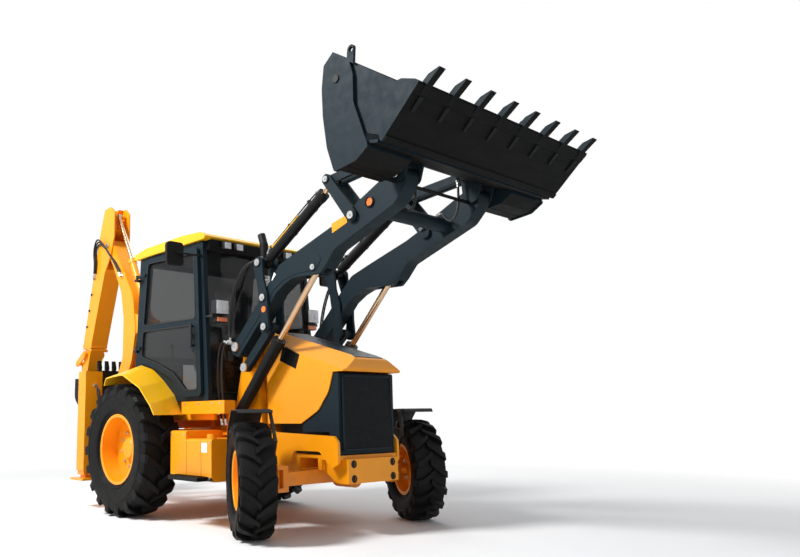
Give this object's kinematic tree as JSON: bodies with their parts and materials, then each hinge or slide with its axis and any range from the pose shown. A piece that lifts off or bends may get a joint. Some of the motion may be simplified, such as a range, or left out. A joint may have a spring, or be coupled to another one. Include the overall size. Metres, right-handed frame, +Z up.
{
  "type": "backhoe loader",
  "caption": "Wheeled backhoe loader with a raised clam bucket on twin arms, a glazed cab, and a folded digging arm on a side-shift frame.",
  "frame": {"origin": "centre of the whole machine's bounding box in plan, on the ground under the tyres", "axes": "+X forward towards the loader bucket, +Y to the driver's left, +Z up"},
  "size_m": [6.7493, 2.7216, 3.8829],
  "materials": {
    "body_yellow": "gloss",
    "roof_yellow": "gloss",
    "orange_shade": "gloss",
    "slate": "semi-gloss",
    "bucket_black": "worn",
    "black_plastic": "matt",
    "tyre": "matt",
    "rod_chrome": "polished",
    "glass": "clear",
    "seat_cloth": "woven",
    "lamp_lens": "clear",
    "cast": "rough"
  },
  "bodies": {
    "chassis": {"main_frame": "body_yellow", "rear_axle": "orange_shade", "front_axle": "orange_shade", "engine_block": "cast", "nose": "slate", "cab_frame": "slate", "cab_glass": "glass", "cab_roof": "roof_yellow", "controls": "black_plastic", "seat": "seat_cloth", "lamps": "lamp_lens", "mirrors_and_stack": "black_plastic", "platform": "body_yellow", "side_boxes": "body_yellow", "rear_fenders": "roof_yellow"},
    "hood": {"hood": "body_yellow"},
    "door_left": {"door_left": "slate", "door_glass_left": "glass"},
    "door_right": {"door_right": "slate", "door_glass_right": "glass"},
    "knuckle_left": {"knuckle_left": "orange_shade", "mudguard_left": "black_plastic"},
    "knuckle_right": {"knuckle_right": "orange_shade", "mudguard_right": "black_plastic"},
    "wheel_front_left": {"tyre_front_left": "tyre", "rim_front_left": "body_yellow"},
    "wheel_front_right": {"tyre_front_right": "tyre", "rim_front_right": "body_yellow"},
    "wheel_rear_left": {"tyre_rear_left": "tyre", "rim_rear_left": "body_yellow"},
    "wheel_rear_right": {"tyre_rear_right": "tyre", "rim_rear_right": "body_yellow"},
    "loader": {"loader_arms": "slate"},
    "bell_cranks": {"bell_cranks": "slate"},
    "lower_links": {"lower_links": "slate"},
    "lift_barrels": {"lift_barrels": "slate"},
    "lift_rods": {"lift_rods": "rod_chrome"},
    "tilt_barrels": {"tilt_barrels": "slate"},
    "tilt_rods": {"tilt_rods": "rod_chrome"},
    "tilt_levers": {"tilt_levers": "slate"},
    "bucket_links": {"bucket_links": "slate"},
    "bucket": {"bucket_shell": "bucket_black"},
    "jaw": {"bucket_jaw": "bucket_black"},
    "hoe_carriage": {"hoe_carriage": "body_yellow"},
    "hoe_post": {"hoe_post": "body_yellow"},
    "hoe_boom": {"hoe_boom": "body_yellow"},
    "boom_ram_barrel": {"boom_ram_barrel": "body_yellow"},
    "boom_ram_rod": {"boom_ram_rod": "rod_chrome"},
    "dipper_ram_barrel": {"dipper_ram_barrel": "body_yellow"},
    "dipper_ram_rod": {"dipper_ram_rod": "rod_chrome"},
    "hoe_dipper": {"hoe_dipper": "body_yellow"},
    "hoe_stick": {"hoe_stick": "body_yellow"},
    "hoe_bucket": {"hoe_bucket": "bucket_black"},
    "tipping_levers": {"tipping_levers": "body_yellow"},
    "tipping_link": {"tipping_link": "body_yellow"},
    "stabiliser_left": {"stabiliser_left": "body_yellow"},
    "stabiliser_right": {"stabiliser_right": "body_yellow"}
  },
  "joints": [
    {"name": "rear_left_wheel_roll", "type": "hinge", "parent": "chassis", "child": "wheel_rear_left", "pos_m": [-0.97434, 0.96695, 0.701], "axis": [0, 1, 0], "continuous": true},
    {"name": "rear_right_wheel_roll", "type": "hinge", "parent": "chassis", "child": "wheel_rear_right", "pos_m": [-0.97434, -1.00305, 0.701], "axis": [0, 1, 0], "continuous": true},
    {"name": "left_steer", "type": "hinge", "parent": "chassis", "child": "knuckle_left", "pos_m": [1.20066, 0.81195, 0.491], "axis": [0, 0, 1], "range_deg": [-10.3, 69.7]},
    {"name": "right_steer", "type": "hinge", "parent": "chassis", "child": "knuckle_right", "pos_m": [1.20066, -0.84805, 0.491], "axis": [0, 0, 1], "range_deg": [-10.3, 69.7]},
    {"name": "front_left_wheel_roll", "type": "hinge", "parent": "knuckle_left", "child": "wheel_front_left", "pos_m": [1.29034, 0.96917, 0.491], "axis": [0.4955, 0.8686, 0], "continuous": true},
    {"name": "front_right_wheel_roll", "type": "hinge", "parent": "knuckle_right", "child": "wheel_front_right", "pos_m": [1.11098, -1.00527, 0.491], "axis": [0.4955, 0.8686, 0], "continuous": true},
    {"name": "hood_lift", "type": "hinge", "parent": "chassis", "child": "hood", "pos_m": [0.62566, -0.01805, 1.85], "axis": [0, -1, 0], "range_deg": [0, 50]},
    {"name": "left_door", "type": "hinge", "parent": "chassis", "child": "door_left", "pos_m": [-1.20934, 0.78195, 2.3], "axis": [0, 0, 1], "range_deg": [0, 90]},
    {"name": "right_door", "type": "hinge", "parent": "chassis", "child": "door_right", "pos_m": [-1.20934, -0.81805, 2.3], "axis": [0, 0, 1], "range_deg": [-90, 0]},
    {"name": "loader_lift", "type": "hinge", "parent": "chassis", "child": "loader", "pos_m": [0.38566, -0.01805, 1.72], "axis": [0, -1, 0], "range_deg": [-65, 16]},
    {"name": "crank_turn", "type": "hinge", "parent": "loader", "child": "bell_cranks", "pos_m": [0.85366, -0.01805, 2.158], "axis": [0, -1, 0], "range_deg": [-14, 50]},
    {"name": "link_turn", "type": "hinge", "parent": "chassis", "child": "lower_links", "pos_m": [0.46566, -0.01805, 1.51], "axis": [0, -1, 0], "range_deg": [-78, 20]},
    {"name": "lift_barrel_turn", "type": "hinge", "parent": "chassis", "child": "lift_barrels", "pos_m": [0.29066, -0.01805, 1.01], "axis": [0, -1, 0], "range_deg": [-60, 16]},
    {"name": "lift_rod_slide", "type": "slide", "parent": "lift_barrels", "child": "lift_rods", "axis": [0.6794, 0, 0.7338], "range_m": [-0.7, 0.2]},
    {"name": "tilt_barrel_turn", "type": "hinge", "parent": "bell_cranks", "child": "tilt_barrels", "pos_m": [0.78266, -0.01805, 2.514], "axis": [0, -1, 0], "range_deg": [-50, 14]},
    {"name": "tilt_rod_slide", "type": "slide", "parent": "tilt_barrels", "child": "tilt_rods", "axis": [0.8566, 0, 0.5159], "range_m": [-0.04, 0.38]},
    {"name": "bucket_tilt", "type": "hinge", "parent": "loader", "child": "bucket", "pos_m": [2.54066, -0.01805, 2.925], "axis": [0, -1, 0], "range_deg": [-86, 8]},
    {"name": "lever_turn", "type": "hinge", "parent": "loader", "child": "tilt_levers", "pos_m": [2.03766, -0.01805, 2.705], "axis": [0, -1, 0], "range_deg": [-50, 6]},
    {"name": "bucket_link_turn", "type": "hinge", "parent": "tilt_levers", "child": "bucket_links", "pos_m": [1.75566, -0.01805, 3.1], "axis": [0, -1, 0], "range_deg": [-4, 36]},
    {"name": "jaw_open", "type": "hinge", "parent": "bucket", "child": "jaw", "pos_m": [2.49566, -0.01805, 3.585], "axis": [0, -1, 0], "range_deg": [0, 60]},
    {"name": "side_shift", "type": "slide", "parent": "chassis", "child": "hoe_carriage", "axis": [0, 1, 0], "range_m": [-0.18, 0.94]},
    {"name": "hoe_swing", "type": "hinge", "parent": "hoe_carriage", "child": "hoe_post", "pos_m": [-2.39434, -0.39805, 0.73], "axis": [0, 0, 1], "range_deg": [-90, 90]},
    {"name": "boom_lower", "type": "hinge", "parent": "hoe_post", "child": "hoe_boom", "pos_m": [-2.51934, -0.39805, 0.96], "axis": [0, -1, 0], "range_deg": [0, 75]},
    {"name": "boom_barrel_turn", "type": "hinge", "parent": "hoe_post", "child": "boom_ram_barrel", "pos_m": [-2.28634, -0.39805, 1.165], "axis": [0, -1, 0], "range_deg": [0, 95]},
    {"name": "boom_rod_slide", "type": "slide", "parent": "boom_ram_barrel", "child": "boom_ram_rod", "axis": [0.3556, 0, 0.9346], "range_m": [0, 0.4]},
    {"name": "dipper_open", "type": "hinge", "parent": "hoe_boom", "child": "hoe_dipper", "pos_m": [-2.53934, -0.39805, 3.35], "axis": [0, 1, 0], "range_deg": [0, 105]},
    {"name": "dipper_barrel_turn", "type": "hinge", "parent": "hoe_boom", "child": "dipper_ram_barrel", "pos_m": [-1.57434, -0.39805, 2.18], "axis": [0, -1, 0], "range_deg": [-20, 20]},
    {"name": "dipper_rod_slide", "type": "slide", "parent": "dipper_ram_barrel", "child": "dipper_ram_rod", "axis": [-0.4908, 0, 0.8713], "range_m": [-0.78, 0.05]},
    {"name": "stick_extend", "type": "slide", "parent": "hoe_dipper", "child": "hoe_stick", "axis": [-0.2989, 0, -0.9543], "range_m": [0, 0.75]},
    {"name": "hoe_bucket_open", "type": "hinge", "parent": "hoe_stick", "child": "hoe_bucket", "pos_m": [-3.20566, -0.39805, 1.60903], "axis": [0, 1, 0], "range_deg": [0, 110]},
    {"name": "tip_lever_turn", "type": "hinge", "parent": "hoe_stick", "child": "tipping_levers", "pos_m": [-3.13209, -0.39805, 1.91083], "axis": [0, 1, 0], "range_deg": [0, 62]},
    {"name": "tip_link_turn", "type": "hinge", "parent": "tipping_levers", "child": "tipping_link", "pos_m": [-3.33466, -0.39805, 1.79003], "axis": [0, 1, 0], "range_deg": [-62, 0]},
    {"name": "left_leg_slide", "type": "slide", "parent": "chassis", "child": "stabiliser_left", "axis": [0, 0, -1], "range_m": [0, 0.3]},
    {"name": "right_leg_slide", "type": "slide", "parent": "chassis", "child": "stabiliser_right", "axis": [0, 0, -1], "range_m": [0, 0.3]}
  ],
  "couplings": [
    {"joint": "left_steer", "follows": "right_steer", "ratio": 1},
    {"joint": "crank_turn", "follows": "loader_lift", "ratio": -0.73},
    {"joint": "link_turn", "follows": "loader_lift", "ratio": 1.17},
    {"joint": "lift_barrel_turn", "follows": "loader_lift", "ratio": 0.7391},
    {"joint": "lift_rod_slide", "follows": "loader_lift", "m_per_rad": 0.5555},
    {"joint": "tilt_barrel_turn", "follows": "loader_lift", "ratio": 0.73},
    {"joint": "tilt_rod_slide", "follows": "bucket_tilt", "m_per_rad": -0.243},
    {"joint": "lever_turn", "follows": "bucket_tilt", "ratio": 0.536},
    {"joint": "bucket_link_turn", "follows": "bucket_tilt", "ratio": -0.39},
    {"joint": "boom_barrel_turn", "follows": "boom_lower", "ratio": 1.1347},
    {"joint": "boom_rod_slide", "follows": "boom_lower", "m_per_rad": 0.2547},
    {"joint": "dipper_barrel_turn", "follows": "dipper_open", "ratio": -0.0492},
    {"joint": "dipper_rod_slide", "follows": "dipper_open", "m_per_rad": -0.3662},
    {"joint": "tip_lever_turn", "follows": "hoe_bucket_open", "ratio": 0.542},
    {"joint": "tip_link_turn", "follows": "hoe_bucket_open", "ratio": -0.542}
  ]
}
